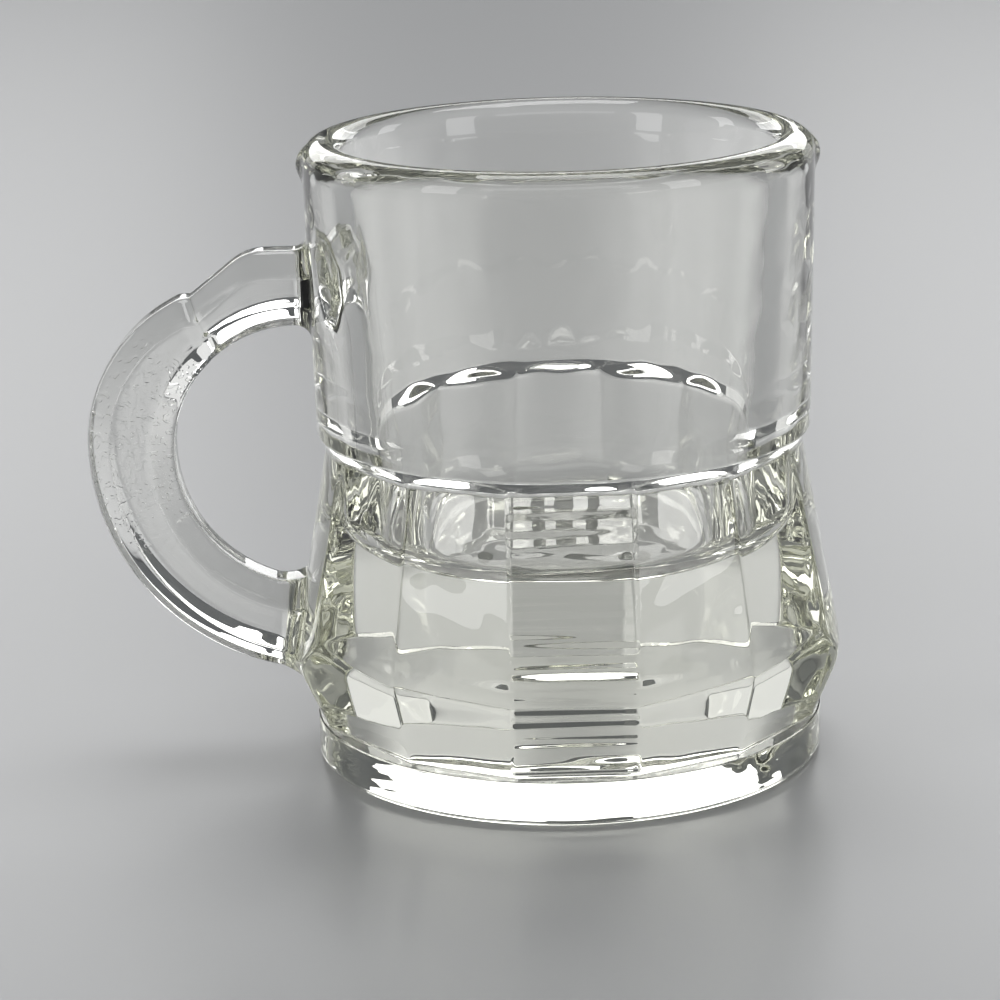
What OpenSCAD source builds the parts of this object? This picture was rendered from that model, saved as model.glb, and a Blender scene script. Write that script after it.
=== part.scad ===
// Small beer-mug shot glass in clear pressed glass: a plain drinking band over a
// flared skirt with flat panels in front and behind, on a round foot, with a bevelled
// C handle at one side.
// The real mug is one pressing. Its moulded zones are separate solids here, and they
// meet face to face. The origin is on the cup's axis at the table, and the handle
// points to -X.

/* [Cup] */
// Overall height of the glass
cup_h = 54; // [51:0.5:60]
// Outer radius just under the lip
rim_r = 21.6; // [20.6:0.1:23]
// Thickness of the wall at the mouth
mouth_wall = 3.5; // [2.5:0.1:5]
// Thickness of the wall where it runs down to the floor, under the band's lower edge
well_wall = 5.8; // [4:0.1:6.5]
// Height of the inside floor above the table
floor_z = 18.5; // [15:0.5:23]
// Radius of the corner between the inside wall and the floor
floor_round = 3; // [1:0.5:6]

/* [Lip] */
// Height of the lip above the drinking band
lip_h = 2.6; // [2.2:0.1:4]
// Radius of the lip's rounded edges
lip_round = 1.6; // [0.6:0.1:2]

/* [Drinking band] */
// How much smaller the band's radius is at its lower edge than under the lip
band_taper = 0.4; // [0:0.1:1]
// Height of the band's lower edge above the table
band_z = 29; // [27:0.5:32]

/* [Skirt] */
// Number of flat panels on the front, and as many on the back; the sides stay round
panel_count = 5; // [3:2:5]
// Angle from one panel to the next
panel_pitch = 27; // [24:0.5:30]
// How far the ridges between panels lie inside the round body at the ledge
ridge_in = 0.07; // [0.05:0.01:0.2]
// Distance from the axis to a panel at its bulge, before the bulge is rounded
panel_bulge_a = 22.5; // [21.8:0.1:22.8]
// Height of the panels' bulge above the table
panel_bulge_z = 11.1; // [10:0.1:13]
// Radius that rounds the bulge of a panel
panel_round = 5; // [1.5:0.5:8]
// How far a panel stands inside the foot's edge where it meets the foot
panel_foot_step = 1.45; // [1:0.05:2]
// Radius of the round body at its bulge, before the bulge is rounded
bulge_r = 23.85; // [23.5:0.05:25]
// Height of the round body's bulge above the table
bulge_z = 8.9; // [7.5:0.1:10]
// Radius that rounds the bulge of the round body
bulge_round = 4; // [2:0.5:6]
// Height of the slanted ledge under the band
ledge_h = 1.1; // [0.6:0.1:2]
// How far the ledge steps in from the band's lower edge
ledge_in = 0.8; // [0.5:0.1:1.2]
// How far a panel's slanted top would pass the band's lower edge
panel_over = 0.06; // [0.04:0.01:0.2]
// How much lower a panel's slanted top starts than the ledge
panel_drop = 0.1; // [0.05:0.05:0.4]

/* [Foot] */
// Radius of the foot
foot_r = 22; // [20.5:0.1:23]
// Height of the foot
foot_h = 3.9; // [3:0.1:5.5]
// Radius of the foot's lower edge
foot_round = 0.8; // [0.3:0.1:1.5]
// How far the round body stands inside the foot's edge where it meets the foot
foot_step = 0.3; // [0.2:0.1:0.8]

/* [Handle bow] */
// Widest gap between the band's lower edge and the bow, where a finger goes
finger_gap = 12.2; // [10:0.1:15]
// Width of the bow, seen from the side, where it stands furthest out
bow_w = 7.4; // [6.4:0.1:9]
// Thickness of the bow from front to back
bow_t = 7.2; // [6.4:0.1:9]
// Width of the bevels along the handle's edges
bevel = 2; // [1:0.1:2.4]
// Height at which the inside of the bow stands furthest out
bow_z = 27.5; // [25:0.1:30]
// How much higher the outside of the bow stands furthest out
bow_lean = 0.5; // [0:0.1:1]
// Height of the lowest point of the finger opening
opening_z = 15.2; // [14:0.1:17]
// Width of the bow at its lower end
bow_low_w = 7.6; // [6.5:0.1:8.4]

/* [Handle arm] */
// Depth of the arm's top below the rim of the cup
arm_drop = 9.3; // [8:0.1:11]
// Height of the arm at its root
arm_h = 6.5; // [5.6:0.1:7.5]
// Thickness of the arm from front to back
arm_t = 6.4; // [5.6:0.1:8]
// Length of the arm's level top, out from the band's lower edge
arm_len = 5.5; // [4.5:0.1:7]
// Width that the bow's curve narrows to over the top of the finger opening
crown_w = 3.8; // [3:0.1:5]
// Angle from upright at which the bow takes over from the arm
neck_angle = 20.5; // [14:0.5:27]
// Step from the bow's outside down to the arm at the neck
neck_step = 0.3; // [0.1:0.1:0.8]

/* [Handle roots] */
// Length of each root, out from the cup's wall
root_len = 2; // [1.6:0.1:3]
// Radius of the flare where a root meets the cup
root_flare = 1.2; // [0.6:0.1:1.5]

/* [Hidden] */
$fn = 96;

clear_glass = [0.86, 0.91, 0.85, 0.6];

// A length that reaches past the whole glass, for half spaces and cuts
span = 4 * cup_h;
// A cutter runs past the face that it cuts by this much
overcut = 1;
// Least flat width that stays between two rounded edges
least_flat = 0.1;
// Straight steps in the flare of a root, and over the bulge of the body and of a panel
flare_steps = 6;
bulge_steps = 6;
panel_steps = 5;

// Cup: where the zones meet, and the radii of its walls there
lip_z = cup_h - lip_h;
lip_corner = min(lip_round, (mouth_wall - least_flat) / 2);
mouth_r = rim_r - mouth_wall;
band_r = rim_r - band_taper;
well_r = band_r - well_wall;
function bore_r(z) = well_r + (mouth_r - well_r) * (z - floor_z) / (cup_h - floor_z);
function wall_r(z) = band_r + (rim_r - band_r) * (z - band_z) / (lip_z - band_z);

// Skirt: corners of the round body's side line, and of a panel's
ledge_z = band_z - ledge_h;
skirt_low = [foot_r - foot_step, foot_h];
skirt_bulge = [bulge_r, bulge_z];
skirt_top = [band_r - ledge_in, ledge_z];
function skirt_r(z) = lookup(z, [for (p = [skirt_low, skirt_bulge, skirt_top]) [p[1], p[0]]]);
panel_low = [foot_r - panel_foot_step, foot_h];
panel_bulge = [panel_bulge_a, panel_bulge_z];
panel_top = [(skirt_top[0] - ridge_in) * cos(panel_pitch / 2), ledge_z - panel_drop];

// Handle: distances run out from the cup's axis, before the handle is turned to -X
inner_out = band_r + finger_gap;
outer_out = inner_out + bow_w;
arm_top = cup_h - arm_drop;
arm_under = arm_top - arm_h;
outer_z = bow_z + bow_lean;
inner_top_r = arm_under - bow_z;
inner_low_r = bow_z - opening_z;
outer_top_r = arm_under + crown_w - outer_z;
outer_low_r = outer_z - opening_z + bow_low_w;
inner_top_x = inner_out - inner_top_r;
inner_low_x = inner_out - inner_low_r;
outer_top_x = outer_out - outer_top_r;
outer_low_x = outer_out - outer_low_r;
bend_x = band_r + arm_len;
neck_r = outer_top_r - neck_step;
neck_x = outer_top_x + neck_r * sin(neck_angle);
neck_z = outer_z + neck_r * cos(neck_angle);
arm_slope = atan2(arm_top - neck_z, neck_x - bend_x);

// Handle roots: the planes where they hand over to the arm and to the bow
upper_root_z = (arm_top + arm_under) / 2;
upper_wall_x = wall_r(upper_root_z);
upper_root_x = upper_wall_x + root_len;
lower_root_x = bulge_r + root_len;
lower_root_low = outer_z - sqrt(pow(outer_low_r, 2) - pow(lower_root_x - outer_low_x, 2));
lower_root_high = bow_z - sqrt(pow(inner_low_r, 2) - pow(lower_root_x - inner_low_x, 2));
lower_wall_x = skirt_r(lower_root_high);

// Outlines with rounded corners
function unit(v) = v / norm(v);
function half_angle(a, b, c) = acos(unit(a - b) * unit(c - b)) / 2;
function corner_centre(a, b, c, r) =
  b + unit(unit(a - b) + unit(c - b)) * r / sin(half_angle(a, b, c));
function corner_ends(a, b, c, r) =
  let (reach = r / tan(half_angle(a, b, c)))
  [b + unit(a - b) * reach, b + unit(c - b) * reach];
function corner_arc(a, b, c, r, steps) =
  let (
    centre = corner_centre(a, b, c, r),
    ends = corner_ends(a, b, c, r),
    turn = 180 - 2 * half_angle(a, b, c)
  )
  [
    for (i = [0 : steps])
      let (share = i / steps)
      centre + (sin(turn * (1 - share)) * (ends[0] - centre)
        + sin(turn * share) * (ends[1] - centre)) / sin(turn)
  ];
function before(points, i) = points[(i + len(points) - 1) % len(points)];
function after(points, i) = points[(i + 1) % len(points)];
function both_sides(side) = [
  each side,
  for (i = [1 : len(side)]) [-side[len(side) - i][0], side[len(side) - i][1]]
];

// An outline whose convex corners are rounded, each by its own radius (0 leaves it sharp)
module rounded_outline(points, radii) {
  polygon([
    for (i = [0 : len(points) - 1])
      each radii[i] == 0
        ? [points[i]]
        : corner_ends(before(points, i), points[i], after(points, i), radii[i])
  ]);
  for (i = [0 : len(points) - 1])
    if (radii[i] > 0)
      translate(corner_centre(before(points, i), points[i], after(points, i), radii[i]))
        circle(radii[i]);
}

// The hollow of the cup: a slightly tapered well with a rounded floor
module well() {
  rotate_extrude()
    intersection() {
      translate([0, floor_z])
        square([span, span]);
      rounded_outline(
        [
          [-well_r, floor_z],
          [well_r, floor_z],
          [bore_r(cup_h + overcut), cup_h + overcut],
          [-bore_r(cup_h + overcut), cup_h + overcut]
        ],
        [0, floor_round, 0, 0]
      );
    }
}

// The outside of the band as a full solid
module band_form() {
  rotate_extrude()
    polygon([[0, band_z], [band_r, band_z], [rim_r, lip_z], [0, lip_z]]);
}

// The skirt's side line from the foot over the bulge to the ledge
skirt_side = [
  skirt_low,
  each corner_arc(skirt_low, skirt_bulge, skirt_top, bulge_round, bulge_steps),
  skirt_top
];

// The skirt as a full round solid, before its panels are cut
module skirt_form() {
  rotate_extrude()
    polygon([[0, foot_h], each skirt_side, [band_r, band_z], [0, band_z]]);
}

// A front panel and the back panel opposite to it, as one slab that keeps what lies between
module panel_pair() {
  side = [
    panel_low,
    each corner_arc(panel_low, panel_bulge, panel_top, panel_round, panel_steps),
    panel_top,
    [band_r + panel_over, band_z]
  ];
  rotate([90, 0, 90])
    linear_extrude(span, center = true)
      polygon(both_sides(side));
}

module lip() {
  color(clear_glass)
    rotate_extrude()
      intersection() {
        translate([0, lip_z])
          square([span, lip_h]);
        rounded_outline(
          [[bore_r(lip_z), lip_z], [rim_r, lip_z], [rim_r, cup_h], [mouth_r, cup_h]],
          [0, 0, lip_corner, lip_corner]
        );
      }
}

module drinking_band() {
  color(clear_glass)
    difference() {
      band_form();
      well();
    }
}

module panelled_skirt() {
  color(clear_glass)
    difference() {
      intersection() {
        skirt_form();
        intersection_for (i = [0 : panel_count - 1])
          rotate((i - (panel_count - 1) / 2) * panel_pitch)
            panel_pair();
      }
      well();
    }
}

module foot() {
  color(clear_glass)
    rotate_extrude()
      intersection() {
        square([span, foot_h]);
        rounded_outline(
          [[-foot_r, 0], [foot_r, 0], [foot_r, foot_h], [-foot_r, foot_h]],
          [0, foot_round, 0, 0]
        );
      }
}

// Half spaces for the handle
module above(z) {
  translate([-span / 2, -span / 2, z])
    cube(span);
}

module below(z) {
  translate([-span / 2, -span / 2, z - span])
    cube(span);
}

module beyond(x) {
  translate([x, -span / 2, -span / 2])
    cube(span);
}

module beyond_neck() {
  translate([outer_top_x, 0, outer_z])
    rotate([0, neck_angle, 0])
      beyond(0);
}

// A round plate lying in the handle's plane, with bevelled edges
module bevelled_plate(x, z, r, t) {
  translate([x, 0, z])
    rotate([90, 0, 0])
      rotate_extrude()
        polygon([
          [0, -t / 2], [r - bevel, -t / 2], [r, bevel - t / 2],
          [r, t / 2 - bevel], [r - bevel, t / 2], [0, t / 2]
        ]);
}

// The cutter for a round hole through the handle, with the same bevels at its edges
module bevelled_hole(x, z, r, t) {
  face = t / 2 + overcut;
  translate([x, 0, z])
    rotate([90, 0, 0])
      rotate_extrude()
        polygon([
          [0, -face], [r + bevel + overcut, -face], [r, bevel - t / 2],
          [r, t / 2 - bevel], [r + bevel + overcut, face], [0, face]
        ]);
}

// The finger opening: a small arc over a wider one, which share a tangent at the bow
module finger_opening(t) {
  intersection() {
    bevelled_hole(inner_top_x, bow_z, inner_top_r, t);
    above(bow_z);
  }
  intersection() {
    bevelled_hole(inner_low_x, bow_z, inner_low_r, t);
    below(bow_z);
  }
}

// A long bar along X with bevels on its top edges, its top at height 0
module bevelled_roof() {
  rotate([90, 0, 90])
    linear_extrude(span, center = true)
      polygon([
        [-arm_t / 2, -span], [arm_t / 2, -span], [arm_t / 2, -bevel],
        [arm_t / 2 - bevel, 0], [bevel - arm_t / 2, 0], [-arm_t / 2, -bevel]
      ]);
}

// One side of a root's outline: straight at its outer end, flared where it meets the cup
function flare_side(half, outer_x, wall_x) = [
  [half, outer_x],
  for (i = [0 : flare_steps])
    let (turn = 90 * i / flare_steps)
    [
      half + root_flare * (1 - cos(turn)),
      wall_x + root_flare * (1 - sin(turn))
    ],
  [half + root_flare, wall_x - root_flare]
];

// A bevelled bar that flares as it meets the cup at wall_x
module flared_root(outer_x, wall_x, z, t, h) {
  across_bevels = (t + h - 2 * bevel) / sqrt(2) / 2;
  translate([0, 0, z])
    intersection_for (side = [[0, t / 2], [90, h / 2], [45, across_bevels], [-45, across_bevels]]) {
      edge = flare_side(side[1], outer_x, wall_x);
      rotate([side[0], 0, 0])
        linear_extrude(span, center = true)
          rotate(-90)
            polygon(both_sides(edge));
    }
}

module handle_upper_root() {
  color(clear_glass)
    rotate(180)
      difference() {
        flared_root(upper_root_x, upper_wall_x, upper_root_z, arm_t, arm_h);
        band_form();
      }
}

module handle_upper_arm() {
  color(clear_glass)
    rotate(180)
      difference() {
        intersection() {
          translate([0, 0, arm_top])
            bevelled_roof();
          translate([bend_x, 0, arm_top])
            rotate([0, arm_slope, 0])
              bevelled_roof();
          beyond(upper_root_x);
          above(bow_z);
        }
        beyond_neck();
        finger_opening(arm_t);
      }
}

module handle_bow() {
  color(clear_glass)
    rotate(180)
      difference() {
        union() {
          intersection() {
            bevelled_plate(outer_top_x, outer_z, outer_top_r, bow_t);
            above(outer_z);
            beyond_neck();
          }
          intersection() {
            bevelled_plate(outer_low_x, outer_z, outer_low_r, bow_t);
            below(outer_z);
            beyond(lower_root_x);
          }
        }
        finger_opening(bow_t);
      }
}

// The lower root has no flare under it, where the skirt turns in to the foot
module handle_lower_root() {
  color(clear_glass)
    rotate(180)
      difference() {
        intersection() {
          flared_root(
            lower_root_x,
            lower_wall_x,
            (lower_root_low + lower_root_high) / 2,
            bow_t,
            lower_root_high - lower_root_low
          );
          above(lower_root_low);
        }
        skirt_form();
      }
}

lip();
drinking_band();
panelled_skirt();
foot();
handle_upper_root();
handle_upper_arm();
handle_bow();
handle_lower_root();
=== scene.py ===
# %% [markdown]
# # A beer-mug shot glass in clear pressed glass
#
# The real mug is one pressing of soda-lime glass: a plain drinking band, a flared skirt with flat
# panels, a round foot and a bevelled C handle. The CAD frame holds those zones as separate solids,
# with the sizes that this lesson reads first. Glass has to be one closed skin to bend light in the
# right way, because a ray counts the walls that it goes through, so every zone ends up in one mesh.

# %% Load the frame
import math

import bmesh
import bpy
from mathutils import Matrix, Vector


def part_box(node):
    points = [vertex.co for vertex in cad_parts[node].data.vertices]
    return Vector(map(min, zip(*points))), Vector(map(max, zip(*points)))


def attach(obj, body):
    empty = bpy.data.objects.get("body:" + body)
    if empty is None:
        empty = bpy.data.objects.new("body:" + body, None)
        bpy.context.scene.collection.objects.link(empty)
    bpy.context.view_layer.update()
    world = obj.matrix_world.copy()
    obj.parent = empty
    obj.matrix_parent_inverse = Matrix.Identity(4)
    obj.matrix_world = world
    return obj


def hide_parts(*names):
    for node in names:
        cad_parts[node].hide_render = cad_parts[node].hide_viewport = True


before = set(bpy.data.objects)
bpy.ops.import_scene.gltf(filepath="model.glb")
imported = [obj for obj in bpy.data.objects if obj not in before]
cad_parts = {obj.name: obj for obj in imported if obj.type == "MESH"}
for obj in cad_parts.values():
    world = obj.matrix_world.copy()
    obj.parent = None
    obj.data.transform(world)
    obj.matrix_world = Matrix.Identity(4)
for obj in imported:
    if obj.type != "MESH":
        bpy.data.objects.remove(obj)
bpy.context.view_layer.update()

# %% [markdown]
# ## Sizes
#
# A node's box gives the outside sizes: how tall the cup is, where each zone starts and how far the
# handle reaches. What a box can't say, such as the thickness of a wall or the angle of the handle's
# neck, is written here once, in millimetres, and means the same as in the CAD. Only the two radii
# that round the bulges are a little larger than there, so that the smooth skin stays inside.

# %% Sizes of the cup
MM = 0.001
CUP_NODES = ["lip", "drinking_band", "panelled_skirt", "foot"]
HANDLE_NODES = ["handle_upper_root", "handle_upper_arm", "handle_bow", "handle_lower_root"]

cup_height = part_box("lip")[1].z
rim_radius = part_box("lip")[1].x
lip_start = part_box("lip")[0].z
band_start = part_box("drinking_band")[0].z
foot_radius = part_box("foot")[1].x
foot_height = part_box("foot")[1].z

mouth_wall = 3.5 * MM
well_wall = 5.8 * MM
band_taper = 0.4 * MM
floor_height = 18.5 * MM
floor_round = 3.0 * MM
lip_round = 1.6 * MM
foot_round = 0.8 * MM

panel_count = 5
panel_pitch = math.radians(27.0)
ridge_in = 0.07 * MM
panel_bulge = (22.5 * MM, 11.1 * MM)
panel_round = 5.4 * MM
panel_foot_step = 1.45 * MM
bulge = (23.85 * MM, 8.9 * MM)
bulge_round = 4.3 * MM
ledge_height = 1.1 * MM
ledge_in = 0.8 * MM
panel_over = 0.06 * MM
panel_drop = 0.1 * MM
foot_step = 0.3 * MM

mouth_radius = rim_radius - mouth_wall
band_radius = rim_radius - band_taper
well_radius = band_radius - well_wall
wall_middle = rim_radius - mouth_wall / 2
print(f"cup {cup_height / MM:.1f} mm tall, mouth {2 * mouth_radius / MM:.1f} mm wide")

# %% [markdown]
# ## Node trees written as sums
#
# The cup's rule and the glass's finish both need node trees. Placing dozens of Math nodes by hand
# hides the formula, so one small class wraps a node's output and lets Python's own operators add
# the nodes. The same class serves Geometry Nodes and shader nodes.

# %% A wire that can be used in sums
class Wire:
    """One output of a node, which can be added, multiplied and divided like a number."""

    def __init__(self, tree, socket):
        self.tree = tree
        self.socket = socket

    def add(self, kind, settings=None, sockets=None, output=0):
        """Add any node: its settings first, then its sockets' values or links."""
        node = self.tree.nodes.new(kind)
        for name, value in (settings or {}).items():
            setattr(node, name, value)
        for key, value in (sockets or {}).items():
            if isinstance(value, Wire):
                self.tree.links.new(value.socket, node.inputs[key])
            else:
                node.inputs[key].default_value = value
        return Wire(self.tree, node.outputs[output])

    def output(self, name):
        """Another output of the same node."""
        return Wire(self.tree, self.socket.node.outputs[name])

    def maths(self, operation, *others):
        """A Math node on this wire and any others."""
        values = dict(enumerate((self, *others)))
        return self.add("ShaderNodeMath", {"operation": operation}, values)

    def reflected(self, operation, first):
        """A Math node whose first value is a plain number."""
        return self.add("ShaderNodeMath", {"operation": operation}, {0: first, 1: self})

    def __add__(self, other):
        return self.maths("ADD", other)

    def __radd__(self, other):
        return self.reflected("ADD", other)

    def __sub__(self, other):
        return self.maths("SUBTRACT", other)

    def __rsub__(self, other):
        return self.reflected("SUBTRACT", other)

    def __mul__(self, other):
        return self.maths("MULTIPLY", other)

    def __rmul__(self, other):
        return self.reflected("MULTIPLY", other)

    def __truediv__(self, other):
        return self.maths("DIVIDE", other)

    def __rtruediv__(self, other):
        return self.reflected("DIVIDE", other)

    def __pow__(self, other):
        return self.maths("POWER", other)

    def __rpow__(self, other):
        return self.reflected("POWER", other)


print("wires are ready for sums")

# %% [markdown]
# ## The cup's profile
#
# A lathe would make the cup from a profile alone, but the skirt isn't all round: the mould-maker
# cut five flat panels into its front and five into its back. So each point of the profile carries
# two distances from the axis. The first is how far a flat panel stands out at that height, and the
# second is the round body. The smaller one counts. Just under the band the panels slant outwards
# until they leave the body, which cuts the arched tops that show in the real glass.

# %% Profile helpers
NO_PANEL = 1000 * MM


def round_point(radius, height):
    """A profile point of a plain round zone."""
    return (NO_PANEL, radius, height)


def arc(centre, radius, first, last, steps):
    """Points of reach and height on an arc; angles in degrees, 0 is outwards and 90 is up."""
    turns = [math.radians(first + (last - first) * i / steps) for i in range(steps + 1)]
    return [(centre[0] + radius * math.cos(t), centre[1] + radius * math.sin(t)) for t in turns]


def rows(first, last, count):
    """Even steps from first up to, but not with, last."""
    return [first + (last - first) * i / count for i in range(count)]


def soft_line(corners, height):
    """The reach at a height on a line of (reach, height, softness) corners."""
    place = 0
    while place < len(corners) - 2 and height > corners[place + 1][1]:
        place += 1
    slopes = [(b[0] - a[0]) / (b[1] - a[1]) for a, b in zip(corners, corners[1:])]
    reach = corners[place][0] + slopes[place] * (height - corners[place][1])
    for corner, before, after in zip(corners[1:-1], slopes, slopes[1:]):
        inside = corner[2] - abs(height - corner[1])
        if inside > 0:
            reach += (after - before) * inside**2 / (4 * corner[2])
    return reach


def well_reach(height):
    """Inner radius of the cup."""
    share = (height - floor_height) / (cup_height - floor_height)
    return well_radius + (mouth_radius - well_radius) * share


print(f"the well's floor is {2 * well_reach(floor_height) / MM:.1f} mm wide")

# %% The side lines of the round body and of a panel
ledge_soft = 0.4 * MM
band_edge_soft = 0.15 * MM
skirt_low = (foot_radius - foot_step, foot_height)
skirt_top = (band_radius - ledge_in, band_start - ledge_height)
panel_low = (foot_radius - panel_foot_step, foot_height)
panel_top = (
    (skirt_top[0] - ridge_in) * math.cos(panel_pitch / 2),
    skirt_top[1] - panel_drop,
)


def rounded(low, corner, top, radius):
    """A corner between two points, with the softness that rounds it by a radius."""
    turn = (corner[0] - low[0]) / (corner[1] - low[1]) + (corner[0] - top[0]) / (top[1] - corner[1])
    return (*corner, radius * turn / 2)


body_line = [
    (*skirt_low, 0),
    rounded(skirt_low, bulge, skirt_top, bulge_round),
    (*skirt_top, ledge_soft),
    (band_radius, band_start, band_edge_soft),
    (rim_radius, lip_start, 0),
]
panel_line = [
    (*panel_low, 0),
    rounded(panel_low, panel_bulge, panel_top, panel_round),
    (*panel_top, ledge_soft),
    (band_radius + panel_over, band_start, 0),
]


def body_reach(height):
    """Radius of the round body: skirt, ledge and band."""
    return soft_line(body_line, height)


def skirt_point(height):
    """A profile point of the skirt or the ledge."""
    return (soft_line(panel_line, height), body_reach(height), height)


print(f"the bulge stands {body_reach(bulge[1]) / MM:.2f} mm out")

# %% The profile from the middle of the base round to the middle of the floor
root_rows = 32
upper_root_rows = (36.4 * MM, 46.5 * MM)
lower_root_rows = (6.2 * MM, 17.5 * MM)
edge_round = 0.12 * MM
ledge_rows = (skirt_top[1] - 0.5 * MM, band_start + 0.3 * MM)
fillet_top = foot_height + edge_round

foot_low = (foot_radius - foot_round, foot_round)
foot_high = (foot_radius - edge_round, foot_height - edge_round)
profile = [round_point(share * foot_low[0], 0) for share in (0, 0.3, 0.6, 0.85)]
profile += [round_point(*point) for point in arc(foot_low, foot_round, -90, 0, 7)]
profile += [
    round_point(foot_radius, height) for height in rows(1.5 * foot_round, foot_high[1], 6)
]
profile += [round_point(*point) for point in arc(foot_high, edge_round, 0, 90, 5)]
fillet = [(edge_round + x, edge_round + z) for x, z in arc((0, 0), edge_round, -90, -180, 6)]
for share in (0.8, 0.6, 0.4, 0.2):
    panel = panel_low[0] + edge_round + share * panel_foot_step
    profile.append((panel, foot_radius - (1 - share) * edge_round, foot_height))
for out, up in fillet:
    panel, body, height = skirt_point(foot_height + up)
    profile.append((panel + out, min(body + out, foot_radius - edge_round), height))
skirt_heights = (
    rows(fillet_top, lower_root_rows[0], 6)[1:]
    + rows(*lower_root_rows, root_rows)
    + rows(lower_root_rows[1], ledge_rows[0], 16)
    + rows(*ledge_rows, 32)
)
profile += [skirt_point(height) for height in skirt_heights]
lip_height = cup_height - lip_round
band_heights = (
    rows(ledge_rows[1], upper_root_rows[0], 10)
    + rows(*upper_root_rows, root_rows)
    + rows(upper_root_rows[1], lip_height, 14)
)
profile += [round_point(body_reach(height), height) for height in band_heights]
profile += [
    round_point(*point)
    for point in arc((rim_radius - lip_round, lip_height), lip_round, 0, 90, 10)
    + arc((mouth_radius + lip_round, lip_height), lip_round, 90, 180, 10)
]
corner_height = floor_height + floor_round
profile += [
    round_point(well_reach(height), height) for height in rows(lip_height, corner_height, 44)[1:]
]
corner = (well_reach(corner_height) - floor_round, corner_height)
profile += [round_point(*point) for point in arc(corner, floor_round, 0, -90, 14)]
profile += [round_point(share * corner[0], floor_height) for share in (0.8, 0.6, 0.4, 0.2, 0)]
print(len(profile), "profile points")

# %% [markdown]
# ## The cup, turned and panelled by Geometry Nodes
#
# The cup follows one rule all the way round, so a node tree makes it. A flat grid has one row for
# each profile point and one column for each angle of a list, which is dense at the ridges. The tree
# looks a row's distances and a column's angle up, works out how far each panel's flat lies along
# that angle, and takes the smallest of the flats and the body. The smooth minimum leaves a small
# round on the ridges, as fire polishing does. Last it swells a nib at the rim on either side, where
# the two halves of the mould meet and a little glass runs into the seam.

# %% The angles of the columns
panel_columns = 22
side_columns = 32
ridge_crowding = 0.85
panels_half = panel_count * panel_pitch / 2


def crowded(first, last, count):
    """Angles from first up to, but not with, last, dense at both ends."""
    shares = [i / count - ridge_crowding * math.sin(math.tau * i / count) / math.tau
              for i in range(count)]
    return [first + (last - first) * share for share in shares]


column_turns = []
for middle in (0.5 * math.pi, 1.5 * math.pi):
    side = math.pi - 2 * panels_half
    column_turns += rows(middle - panels_half - side, middle - panels_half, side_columns)
    for place in range(panel_count):
        ridge = middle - panels_half + place * panel_pitch
        column_turns += crowded(ridge, ridge + panel_pitch, panel_columns)
column_turns.append(column_turns[0] + math.tau)
print(len(column_turns), "columns")


# %% The tree that turns and panels a profile
def panel_tree():
    """A grid that takes its rows and columns from a pattern, with flats cut in and nibs swollen."""
    tree = bpy.data.node_groups.new("turn_and_panel", "GeometryNodeTree")
    inputs = {
        "Pattern": "NodeSocketGeometry",
        "Rows": "NodeSocketInt",
        "Columns": "NodeSocketInt",
        "Panel pitch": "NodeSocketFloat",
        "Ridge blend": "NodeSocketFloat",
        "Wall middle": "NodeSocketFloat",
        "Nib out": "NodeSocketFloat",
        "Nib height": "NodeSocketFloat",
        "Nib half height": "NodeSocketFloat",
        "Nib half width": "NodeSocketFloat",
        "Glass": "NodeSocketMaterial",
    }
    for name, kind in inputs.items():
        tree.interface.new_socket(name, in_out="INPUT", socket_type=kind)
    tree.interface.new_socket("Cup", in_out="OUTPUT", socket_type="NodeSocketGeometry")
    sockets = tree.nodes.new("NodeGroupInput").outputs
    given = {name: Wire(tree, sockets[name]) for name in inputs}
    pattern, row_count = given["Pattern"], given["Rows"]

    def look_up(index):
        found = pattern.add(
            "GeometryNodeSampleIndex",
            {"data_type": "FLOAT_VECTOR", "domain": "POINT"},
            {
                "Geometry": pattern,
                "Value": pattern.add("GeometryNodeInputPosition"),
                "Index": index.maths("ROUND"),
            },
        )
        return found.add("ShaderNodeSeparateXYZ", None, {0: found})

    grid = pattern.add(
        "GeometryNodeMeshGrid",
        None,
        {"Vertices X": given["Columns"], "Vertices Y": row_count},
    )
    index = pattern.add("GeometryNodeInputIndex")
    column = ((index + 0.5) / row_count).maths("FLOOR")
    panel = look_up(index - column * row_count)
    body, height = panel.output("Y"), panel.output("Z")
    turn = look_up(row_count + column)

    from_back = turn - math.pi / 2
    lean = from_back - math.pi * (from_back / math.pi).maths("ROUND")
    radius = body
    for place in range(panel_count):
        facing = (lean - (place - (panel_count - 1) / 2) * given["Panel pitch"]).maths("COSINE")
        flat = panel / facing.maths("MAXIMUM", 0.1)
        radius = radius.maths("SMOOTH_MIN", flat, given["Ridge blend"])
    beside = radius * turn.maths("SINE") / given["Nib half width"]
    above = (height - given["Nib height"]) / given["Nib half height"]
    swell = (1 - beside * beside - above * above).maths("MAXIMUM", 0.0)
    outside = body.maths("GREATER_THAN", given["Wall middle"])
    radius = radius + given["Nib out"] * swell * swell * outside
    position = radius.add(
        "ShaderNodeCombineXYZ",
        None,
        {
            "X": radius * turn.maths("COSINE"),
            "Y": radius * turn.maths("SINE"),
            "Z": height,
        },
    )
    moved = grid.add("GeometryNodeSetPosition", None, {"Geometry": grid, "Position": position})
    closed = moved.add(
        "GeometryNodeMergeByDistance", None, {"Geometry": moved, "Distance": 0.0001 * MM}
    )
    smooth = closed.add("GeometryNodeSetShadeSmooth", None, {"Geometry": closed})
    real = smooth.add("GeometryNodeRealizeInstances", None, {"Geometry": smooth})
    dressed = real.add(
        "GeometryNodeSetMaterial", None, {"Geometry": real, "Material": given["Glass"]}
    )
    result = tree.nodes.new("NodeGroupOutput")
    tree.links.new(dressed.socket, result.inputs["Cup"])
    return tree


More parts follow.
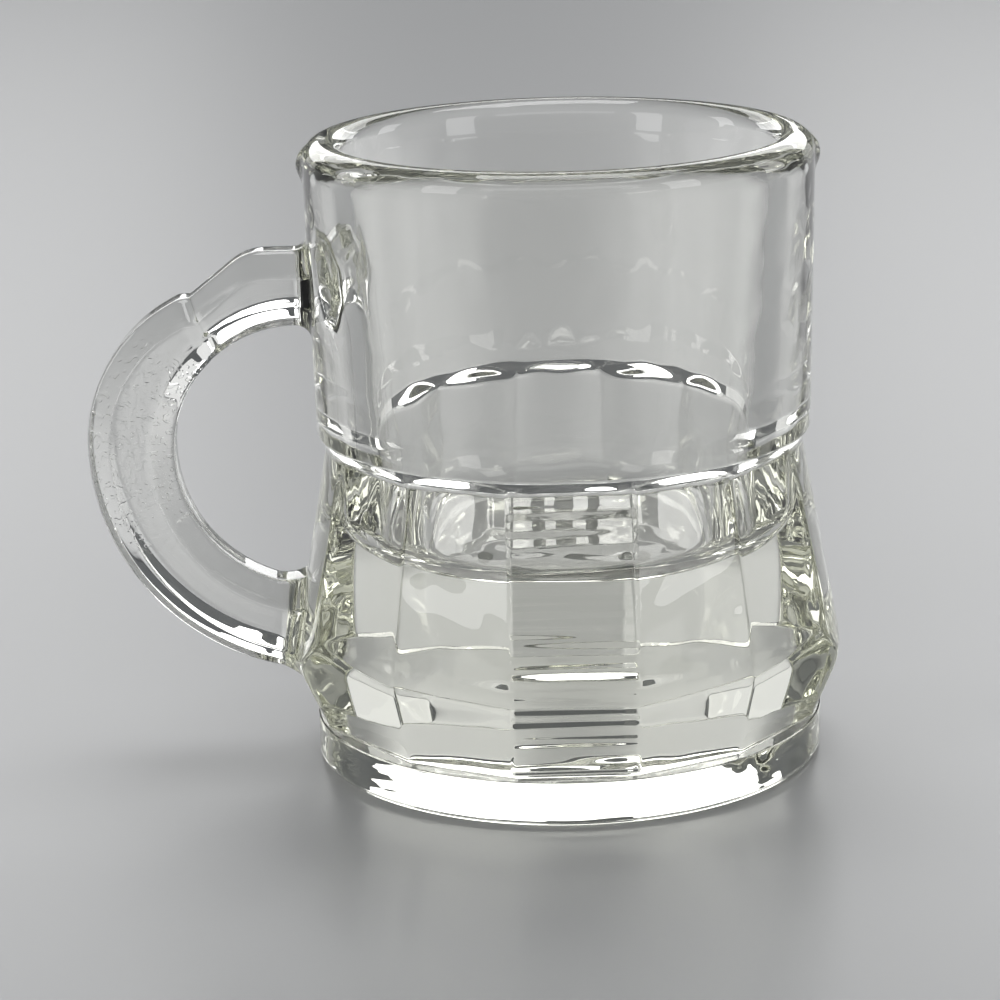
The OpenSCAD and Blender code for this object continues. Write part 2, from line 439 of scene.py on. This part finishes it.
def set_inputs(modifier, values):
    """Set a node modifier's inputs, each found by its name and set by its identifier."""
    sockets = {
        item.name: item.identifier
        for item in modifier.node_group.interface.items_tree
        if item.in_out == "INPUT"
    }
    for name, value in values.items():
        modifier[sockets[name]] = value


# %% Turn the profile into the cup
glass = bpy.data.materials.new("clear_pressed_glass")
ridge_blend = 0.25 * MM
nib_out = 0.55 * MM
nib_height = 51.8 * MM
nib_half_height = 1.9 * MM
nib_half_width = 1.9 * MM


def turned_cup():
    """The cup as a plain mesh, from the profile, the columns and the tree."""
    pattern = bpy.data.meshes.new("cup_pattern")
    pattern.from_pydata(profile + [(turn, 0, 0) for turn in column_turns], [], [])
    holder = bpy.data.objects.new("cup_pattern", pattern)
    bpy.context.collection.objects.link(holder)
    modifier = holder.modifiers.new("turn_and_panel", "NODES")
    modifier.node_group = panel_tree()
    set_inputs(
        modifier,
        {
            "Rows": len(profile),
            "Columns": len(column_turns),
            "Panel pitch": panel_pitch,
            "Ridge blend": ridge_blend,
            "Wall middle": wall_middle,
            "Nib out": nib_out,
            "Nib height": nib_height,
            "Nib half height": nib_half_height,
            "Nib half width": nib_half_width,
            "Glass": glass,
        },
    )
    holder.update_tag()
    graph = bpy.context.evaluated_depsgraph_get()
    mesh = bpy.data.meshes.new_from_object(holder.evaluated_get(graph), depsgraph=graph)
    bpy.data.objects.remove(holder)
    return mesh


cup_mesh = turned_cup()
print("cup:", len(cup_mesh.vertices), "points,", len(cup_mesh.polygons), "faces")

# %% [markdown]
# ## The handle's run
#
# The handle leaves the band level, bends down, steps into a wider bow and comes back to the skirt
# as a C. A curve with a bevel could sweep it, but its height and thickness change along the way. So
# the run is a list of stations, and each one holds a point on the outer edge, a point on the inner
# edge and a thickness. The edges are the same circles and lines as in the CAD.

# %% Sizes of the handle
bow_out = -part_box("handle_bow")[0].x
bow_thickness = 2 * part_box("handle_bow")[1].y
arm_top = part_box("handle_upper_arm")[1].z
arm_thickness = 2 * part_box("handle_upper_arm")[1].y

bow_width = 7.4 * MM
bow_low_width = 7.6 * MM
bow_height = 27.5 * MM
bow_lean = 0.5 * MM
opening_low = 15.2 * MM
opening_top = 38.2 * MM
crown_width = 3.8 * MM
bend_out = 26.7 * MM
neck_angle = 20.5
neck_step = 0.3 * MM
bevel = 2.0 * MM


class Hoop:
    """A circle in the handle's plane that touches a given reach."""

    def __init__(self, reach, radius, height):
        self.radius = radius
        self.centre = Vector((radius - reach, 0, height))

    def point(self, angle, inset=0):
        """The point at an angle in degrees, from straight up towards the handle's outside."""
        turn = math.radians(angle)
        side = Vector((-math.sin(turn), 0, math.cos(turn)))
        return self.centre + (self.radius - inset) * side


outer_height = bow_height + bow_lean
inner_out = bow_out - bow_width
inner_top = Hoop(inner_out, opening_top - bow_height, bow_height)
inner_low = Hoop(inner_out, bow_height - opening_low, bow_height)
outer_top = Hoop(bow_out, opening_top + crown_width - outer_height, outer_height)
outer_low = Hoop(bow_out, outer_height - opening_low + bow_low_width, outer_height)
print(f"the bow stands {bow_out / MM:.1f} mm out and its opening is {inner_out / MM:.1f} mm out")

# %% Stations from the upper root to the lower root
upper_root_out = 22.65 * MM
lower_root_out = 25.0 * MM
inner_neck_angle = 40.6
bend_round = 1.6 * MM
neck_share = 0.05
widest_angle = 90
arm_sections, upper_sections, lower_sections = 26, 34, 40


def evenly(count):
    """Shares from 0 to 1 in even steps."""
    return [i / count for i in range(count + 1)]


def along(points, share):
    """The point at a share of the length of a line of points."""
    lengths = [(b - a).length for a, b in zip(points, points[1:])]
    left = share * sum(lengths)
    for a, b, length in zip(points, points[1:], lengths):
        if left <= length:
            return a.lerp(b, left / length)
        left -= length
    return points[-1].copy()


def rounded_corner(before, corner, after, size, steps=8):
    """A line of three points with its corner rounded."""
    first = corner + (before - corner).normalized() * size
    last = corner + (after - corner).normalized() * size
    curve = [
        first.lerp(corner, share).lerp(corner.lerp(last, share), share) for share in evenly(steps)
    ]
    return [before, *curve, after]


def angle_at(hoop, reach):
    """The angle past the widest point at which a hoop comes back to a reach."""
    return 180 - math.degrees(math.asin((reach + hoop.centre.x) / hoop.radius))


def handle_stations():
    """Outer point, inner point and thickness of each section, from the band to the skirt."""
    neck = outer_top.point(neck_angle, neck_step)
    bend = Vector((-bend_out, 0, arm_top))
    root = Vector((-upper_root_out, 0, arm_top))
    crest = rounded_corner(root, bend, neck, bend_round)
    first_inner = math.degrees(math.asin((upper_root_out + inner_top.centre.x) / inner_top.radius))
    stations = []
    for share in evenly(arm_sections):
        angle = first_inner + (inner_neck_angle - first_inner) * share
        stations.append((along(crest, share), inner_top.point(angle), arm_thickness))
    for share in evenly(upper_sections)[1:]:
        step = min(share / neck_share, 1)
        outer_angle = neck_angle + (widest_angle - neck_angle) * share
        inner_angle = inner_neck_angle + (widest_angle - inner_neck_angle) * share
        outer = outer_top.point(outer_angle, neck_step * (1 - step))
        thickness = arm_thickness + (bow_thickness - arm_thickness) * step
        stations.append((outer, inner_top.point(inner_angle), thickness))
    outer_turn = angle_at(outer_low, lower_root_out) - widest_angle
    inner_turn = angle_at(inner_low, lower_root_out) - widest_angle
    for share in evenly(lower_sections)[1:]:
        outer = outer_low.point(widest_angle + outer_turn * share)
        inner = inner_low.point(widest_angle + inner_turn * share)
        stations.append((outer, inner, bow_thickness))
    return stations


stations = handle_stations()
print(len(stations), "stations along the handle")

# %% [markdown]
# ## Lofting the handle onto the cup
#
# The mould joins handle and cup in one skin, with a small hollow fillet round each root. A Boolean
# would join them too, but it leaves a hard seam and thin triangles that show as streaks in glass.
# Instead a patch of faces is cut out of the band and out of the skirt. The edge of each hole is the
# first ring of the loft: rings run over the wall towards the root, lift off through the fillet, and
# go on as bevelled sections from station to station until they reach the other hole.

# %% Ring helpers
corner_power = 60


def section_radius(angle, half_width, half_thickness):
    """How far a bevelled section reaches in a direction; the power rounds its corners a little."""
    across, side = abs(math.cos(angle)), abs(math.sin(angle))
    slant = half_width + half_thickness - bevel
    total = (
        (across / half_width) ** corner_power
        + (side / half_thickness) ** corner_power
        + ((across + side) / slant) ** corner_power
    )
    return total ** (-1 / corner_power)


def section_ring(station, angles):
    """The points of one section, each in its own direction from the section's middle."""
    outer, inner, thickness = station
    middle = (outer + inner) / 2
    across = (outer - inner).normalized()
    half = (outer - inner).length / 2
    points = []
    for angle in angles:
        radius = section_radius(angle, half, thickness / 2)
        side = Vector((0, math.sin(angle), 0))
        points.append(middle + radius * (math.cos(angle) * across + side))
    return points


def curve_point(points, share):
    """A point on the smooth curve that four points steer."""
    while len(points) > 1:
        points = [a.lerp(b, share) for a, b in zip(points, points[1:])]
    return points[0]


def join_rings(skin, first, second):
    """A strip of faces between two rings of the same count."""
    for i in range(len(first)):
        j = (i + 1) % len(first)
        skin.faces.new((first[i], first[j], second[j], second[i]))


corner_reach = section_radius(math.pi / 4, bow_width / 2, bow_thickness / 2)
print(f"the middle of a bevel lies {corner_reach / MM:.2f} mm from the bow's middle")

# %% Cut the patches and loft between them
root_flare = 1.2 * MM
wall_rings = 3
fillet_rings = 7
fillet_pull = 0.55 * root_flare
root_angle = 165
patch_half_turn = math.radians(13.0)
hair = 0.001 * MM


def cut_patch(skin, heights):
    """Delete the cup's faces at the handle between two heights; give back the hole's points."""
    inside = []
    for face in skin.faces:
        middle = face.calc_center_median()
        turn = abs(math.atan2(middle.y, -middle.x))
        outside = math.hypot(middle.x, middle.y) > wall_middle
        if heights[0] < middle.z < heights[1] and turn < patch_half_turn and outside:
            inside.append(face)
    bmesh.ops.delete(skin, geom=inside, context="FACES")
    low, high = heights[0] - hair, heights[1] + hair
    return [v for v in skin.verts if v.is_boundary and low < v.co.z < high]


def round_wall(y, z):
    """How far out the round body stands, beside the handle's plane."""
    return math.sqrt(body_reach(z) ** 2 - y**2)


def root_rings(hole, station, run, sign):
    """Rings from a hole in the wall to a section, and the directions that they keep.

    The sign is 1 at the upper root, where the outer edge is on top, and -1 at the lower one.
    """
    outer, inner, thickness = station
    middle = (outer + inner) / 2
    half = (outer - inner).length / 2
    centre = middle.z + run.z / abs(run.x) * (abs(middle.x) - round_wall(0, middle.z))

    def direction(vert):
        return math.atan2(vert.co.y, sign * (vert.co.z - centre))

    hole = sorted(hole, key=direction)
    angles = [direction(vert) for vert in hole]
    section = section_ring(station, angles)
    rings = [[] for _ in range(wall_rings + fillet_rings - 1)]

    def wall_point(angle, distance):
        y = distance * math.sin(angle)
        z = centre + sign * distance * math.cos(angle)
        return Vector((-round_wall(y, z), y, z))

    for vert, angle, end in zip(hole, angles, section):
        edge = section_radius(angle, half, thickness / 2) + root_flare
        far = math.hypot(vert.co.y, vert.co.z - centre)
        for k in range(wall_rings):
            distance = far + (edge - far) * (k + 1) / wall_rings
            rings[k].append(wall_point(angle, distance))
        steer = [
            wall_point(angle, edge),
            wall_point(angle, edge - fillet_pull),
            end + fillet_pull * run,
            end,
        ]
        for k in range(fillet_rings - 1):
            rings[wall_rings + k].append(curve_point(steer, (k + 1) / fillet_rings))
    return hole, rings, angles


def add_handle(mesh):
    """Loft the handle between its two holes, and write the closed skin back."""
    skin = bmesh.new()
    skin.from_mesh(mesh)
    upper_hole = cut_patch(skin, upper_root_rows)
    lower_hole = cut_patch(skin, lower_root_rows)
    start_run = Vector((1, 0, 0))
    end_run = (outer_low.point(root_angle) - outer_low.point(root_angle - 1)).normalized()
    upper, upper_rings, upper_angles = root_rings(upper_hole, stations[0], start_run, 1)
    lower, lower_rings, lower_angles = root_rings(lower_hole, stations[-1], end_run, -1)
    rings = upper_rings
    for place, station in enumerate(stations):
        share = place / (len(stations) - 1)
        angles = [a + (b - a) * share for a, b in zip(upper_angles, lower_angles)]
        rings.append(section_ring(station, angles))
    rings += reversed(lower_rings)
    last = upper
    for ring in rings:
        new = [skin.verts.new(point) for point in ring]
        join_rings(skin, last, new)
        last = new
    join_rings(skin, last, lower)
    for face in skin.faces:
        face.smooth = True
    bmesh.ops.recalc_face_normals(skin, faces=skin.faces[:])
    open_edges = sum(not edge.is_manifold for edge in skin.edges)
    volume = skin.calc_volume(signed=True)
    skin.to_mesh(mesh)
    skin.free()
    print(len(upper), "and", len(lower), "points round the holes,", open_edges, "open edges")
    print(f"glass volume {volume * 1e6:.2f} ml")


add_handle(cup_mesh)

# %% The finished skin as one piece
mug = bpy.data.objects.new("mug_glass", cup_mesh)
bpy.context.collection.objects.link(mug)
cup_mesh.materials.clear()
cup_mesh.materials.append(glass)
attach(mug, "root")
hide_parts(*CUP_NODES, *HANDLE_NODES)
print("mug:", sum(len(face.vertices) - 2 for face in cup_mesh.polygons), "triangles")

# %% [markdown]
# ## Clear glass
#
# Soda-lime glass is colourless in a thin wall and faintly cream where light goes a long way through
# it. That belongs to the volume, not to the surface, so the tint is absorption inside the skin. The
# surface is fire-polished: nearly mirror smooth, with shallow ripples where the hot glass touched
# the cooler mould. The flat in the middle of the front also keeps the level strokes of the cutter
# that made the mould, and the sides of the bow are stippled. All of that is much finer than the
# mesh, so it is a bump, and each kind of mark has a mask from the object's own coordinates.

# %% Masks and marks of the glass
glass.use_nodes = True
glass_tree = glass.node_tree
glass_tree.nodes.clear()
coordinates = Wire(glass_tree, glass_tree.nodes.new("ShaderNodeTexCoord").outputs["Object"])
across = coordinates.add("ShaderNodeSeparateXYZ", None, {0: coordinates})
depth, height = across.output("Y"), across.output("Z")


def inside_edge(value, edge, soft):
    """1 where the value is under the edge, 0 above it, with a soft step."""
    return value.add(
        "ShaderNodeMapRange",
        {"interpolation_type": "SMOOTHSTEP"},
        {"Value": value, "From Min": edge - soft, "From Max": edge, "To Min": 1.0, "To Max": 0.0},
    )


def noise(scale, detail, stretch=(1.0, 1.0, 1.0)):
    """A noise with about as many cells to the metre as its scale, stretched along each axis."""
    place = coordinates.add(
        "ShaderNodeMapping", None, {"Vector": coordinates, "Scale": stretch}
    )
    return place.add(
        "ShaderNodeTexNoise", None, {"Vector": place, "Scale": scale, "Detail": detail}
    )


stroke_half_width = 5.4 * MM
stroke_low, stroke_high = 4.6 * MM, 28.2 * MM
front_depth = -18.5 * MM
stipple_start = -25.0 * MM
stipple_half_height = 9.0 * MM
side_face = bow_thickness / 2 - 0.1 * MM
pit_level, pit_soft = 0.42, 0.1

on_flat = inside_edge(across.maths("ABSOLUTE"), stroke_half_width, 0.5 * MM)
on_skirt = inside_edge(height, stroke_high, 0.8 * MM) * (
    1 - inside_edge(height, stroke_low, 0.5 * MM)
)
in_front = inside_edge(depth, front_depth, 0.5 * MM)
strokes = noise(1000.0, 0.0, (0.05, 0.05, 1.0)) * on_flat * on_skirt * in_front
on_bow = inside_edge(across, stipple_start, 1.0 * MM) * (
    1 - inside_edge(depth.maths("ABSOLUTE"), side_face, 0.1 * MM)
)
on_middle = inside_edge((height - bow_height).maths("ABSOLUTE"), stipple_half_height, 2.0 * MM)
stipple = inside_edge(noise(2000.0, 0.0), pit_level, pit_soft) * on_bow * on_middle
ripple = noise(190.0, 1.0)
smears = noise(420.0, 2.0)
print("marks:", len(glass_tree.nodes), "nodes")

# %% The glass material
mark_depth = 0.03 * MM
marks = 2.4 * ripple + 7.0 * strokes + 0.9 * stipple
bump = marks.add(
    "ShaderNodeBump", None, {"Strength": 1.0, "Distance": mark_depth, "Height": marks}
)
surface = bump.add(
    "ShaderNodeBsdfPrincipled",
    None,
    {
        "Base Color": (0.99, 0.99, 0.98, 1),
        "Roughness": 0.004 + 0.03 * smears**3,
        "IOR": 1.52,
        "Transmission Weight": 1.0,
        "Normal": bump,
    },
)
inside = surface.add(
    "ShaderNodeVolumeAbsorption", None, {"Color": (0.94, 0.95, 0.80, 1), "Density": 11.0}
)
output = glass_tree.nodes.new("ShaderNodeOutputMaterial")
glass_tree.links.new(surface.socket, output.inputs["Surface"])
glass_tree.links.new(inside.socket, output.inputs["Volume"])
print("glass nodes:", len(glass_tree.nodes))

# %% [markdown]
# ## Floor, light and camera
#
# Clear glass has no colour of its own to show: its edges and ridges show only as far as there is
# something bright and something dim for them to bend. So the room is dim, and the floor is pale and
# satin, which draws the lamps out into soft streaks. Wide softboxes stand high behind the glass and
# in front of it: their light is held between the skirt and the base and makes the foot glow. The
# pair under the one behind leaves a gap in the middle, so the middle flat looks dimmer than its
# neighbours and the ridges show. Small boxes near the floor and strips at the sides reach the
# outer flats. The camera's place and lens were fitted to the ellipses of the rim and the foot.

# %% Floor
floor_half = 3.0
floor_gap = 0.05 * MM
floor_mesh = bpy.data.meshes.new("floor")
floor_mesh.from_pydata(
    [(x * floor_half, y * floor_half, -floor_gap) for x, y in ((-1, -1), (1, -1), (1, 1), (-1, 1))],
    [],
    [(0, 1, 2, 3)],
)
floor = bpy.data.objects.new("floor", floor_mesh)
bpy.context.collection.objects.link(floor)
paper = bpy.data.materials.new("floor_paper")
paper.use_nodes = True
paper_shader = paper.node_tree.nodes["Principled BSDF"]
paper_shader.inputs["Base Color"].default_value = (0.38, 0.384, 0.388, 1)
paper_shader.inputs["Roughness"].default_value = 0.4
floor_mesh.materials.append(paper)
print("floor laid")

# %% Lights
world = bpy.data.worlds.new("room")
bpy.context.scene.world = world
world.use_nodes = True
room = world.node_tree.nodes["Background"]
room.inputs["Color"].default_value = (0.10, 0.105, 0.11, 1)


def softbox(name, place, width, height, power):
    """A rectangular lamp that faces the middle of the glass."""
    lamp = bpy.data.lights.new(name, "AREA")
    lamp.shape = "RECTANGLE"
    lamp.size, lamp.size_y = width, height
    lamp.energy = power
    thing = bpy.data.objects.new(name, lamp)
    bpy.context.collection.objects.link(thing)
    thing.location = place
    aim = Vector((0, 0, cup_height / 2)) - Vector(place)
    thing.rotation_euler = aim.to_track_quat("-Z", "Y").to_euler()


softbox("overhead", (0.05, 0.15, 0.70), 0.45, 0.35, 2.3)
softbox("in_front", (0.0, -1.05, 0.62), 1.5, 0.30, 1.8)
softbox("behind", (0.0, 1.05, 0.62), 1.5, 0.30, 3.4)
for side, share in (("left", -1), ("right", 1)):
    softbox(side + "_behind", (share * 0.42, 1.08, 0.36), 0.66, 0.26, 1.7)
    softbox(side + "_low", (share * 0.57, 0.82, 0.105), 0.25, 0.20, 0.12)
    softbox(side + "_front", (share * 0.46, -0.33, 0.18), 0.16, 0.34, 0.45)
    softbox(side + "_back", (share * 0.55, 0.18, 0.18), 0.14, 0.34, 0.4)
print("eleven softboxes")

# %% Camera
image_side = 1000
focal_pixels = 3363.2
camera_back = 281.11 * MM
camera_height = 98.52 * MM
yaw, pitch, roll = math.radians(-1.146), math.radians(15.218), math.radians(-1.4725)
camera_turn = math.radians(-1.4)

forward = Vector(
    (math.sin(yaw) * math.cos(pitch), math.cos(yaw) * math.cos(pitch), -math.sin(pitch))
)
level = Vector((math.cos(yaw), -math.sin(yaw), 0))
upright = level.cross(forward)
right = math.cos(roll) * level + math.sin(roll) * upright
up = math.cos(roll) * upright - math.sin(roll) * level
camera_data = bpy.data.cameras.new("camera")
camera_data.sensor_width = 36.0
camera_data.lens = focal_pixels * camera_data.sensor_width / image_side
camera_data.clip_start = 0.01
camera = bpy.data.objects.new("camera", camera_data)
bpy.context.collection.objects.link(camera)
axes = Matrix((right, up, -forward)).transposed().to_4x4()
stand = Matrix.Translation((0, -camera_back, camera_height)) @ axes
camera.matrix_world = Matrix.Rotation(camera_turn, 4, "Z") @ stand
bpy.context.scene.camera = camera
bpy.context.scene.view_settings.view_transform = "Standard"
bpy.context.scene.cycles.max_bounces = 16
bpy.context.scene.cycles.transmission_bounces = 16
bpy.context.scene.cycles.glossy_bounces = 12
print(f"lens {camera_data.lens:.1f} mm")
